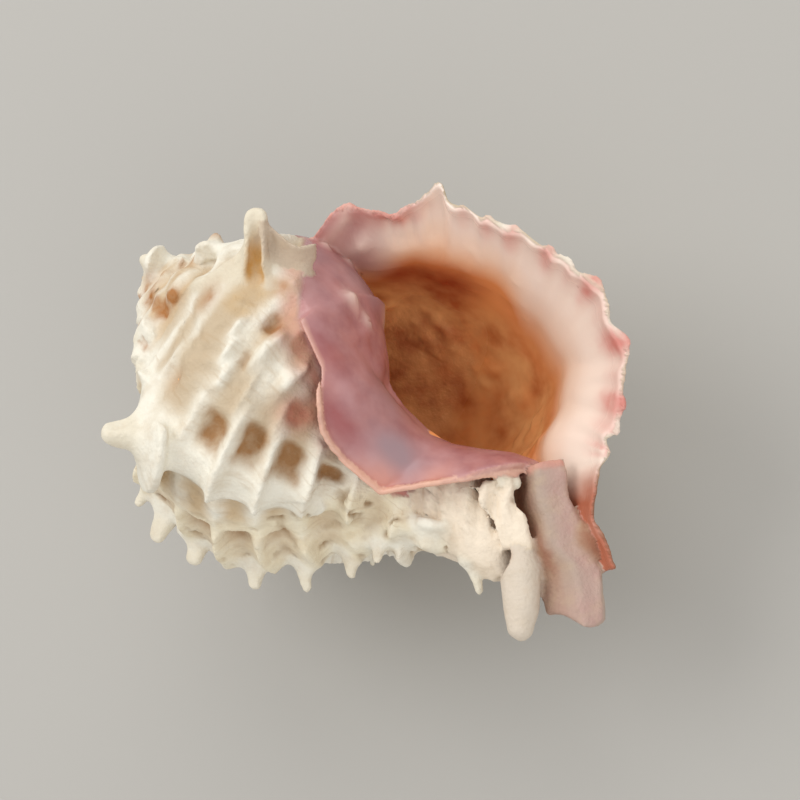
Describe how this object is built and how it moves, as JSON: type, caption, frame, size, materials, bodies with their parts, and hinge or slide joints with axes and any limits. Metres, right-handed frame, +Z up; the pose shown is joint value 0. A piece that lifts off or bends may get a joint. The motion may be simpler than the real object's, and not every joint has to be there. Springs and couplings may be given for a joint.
{
  "type": "murex sea shell",
  "caption": "Spiny murex sea shell lying on its back, with a wide flared pink mouth, a glossy inner lip and short open canals.",
  "frame": {"origin": "centre of the bounding box's underside, on the floor the shell lies on", "axes": "+Z up out of the mouth, +X from the spire towards the outer lip, +Y away from the canals"},
  "size_m": [0.0982, 0.0812, 0.0665],
  "materials": {
    "shell": "chalky cream outside, glossy pink mouth and orange-brown inside"
  },
  "bodies": {
    "root": {"shell": "shell"}
  },
  "joints": []
}
